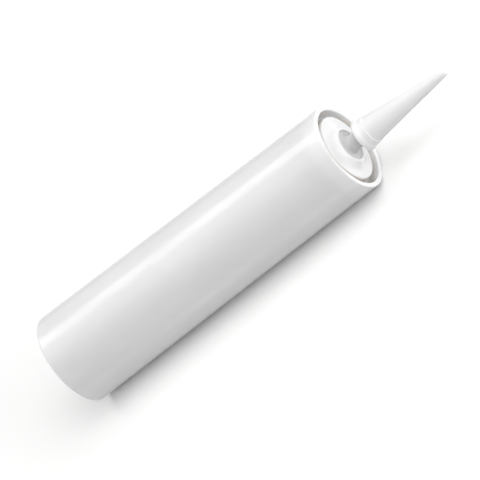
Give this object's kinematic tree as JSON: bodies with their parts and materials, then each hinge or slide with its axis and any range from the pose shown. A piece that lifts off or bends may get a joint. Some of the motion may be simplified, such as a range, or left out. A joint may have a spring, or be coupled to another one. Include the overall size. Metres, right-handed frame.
{
  "type": "caulk tube",
  "caption": "White moulded caulk cartridge with a recessed shoulder plate, a screw-on tapered nozzle on a threaded neck, and a sliding plunger at the rear.",
  "frame": {"origin": "centre of the rear rim, on the surface that the tube stands on", "axes": "+Z along the tube's axis, from the plunger to the nozzle's tip; the tube is round, so +X and +Y are free"},
  "size_m": [0.051, 0.051, 0.2627],
  "materials": {
    "cartridge": "glossy white polyethylene",
    "neck": "satin grey polyethylene",
    "seal": "satin foil",
    "nozzle": "semi-gloss white polyethylene",
    "plunger": "satin off-white polyethylene",
    "paste": "smooth white paste"
  },
  "bodies": {
    "cartridge": {"cartridge_body": "cartridge", "threaded_neck": "neck", "outlet_seal": "seal", "sealant": "paste"},
    "plunger": {"plunger": "plunger"},
    "nozzle": {"nozzle": "nozzle"}
  },
  "joints": [
    {"name": "plunger_slide", "type": "slide", "parent": "cartridge", "child": "plunger", "axis": [0, 0, 1], "range_m": [0, 0.17], "deforming": ["sealant"]},
    {"name": "nozzle_lift", "type": "slide", "parent": "cartridge", "child": "nozzle", "axis": [0, 0, 1], "range_m": [0, 0.03]}
  ]
}
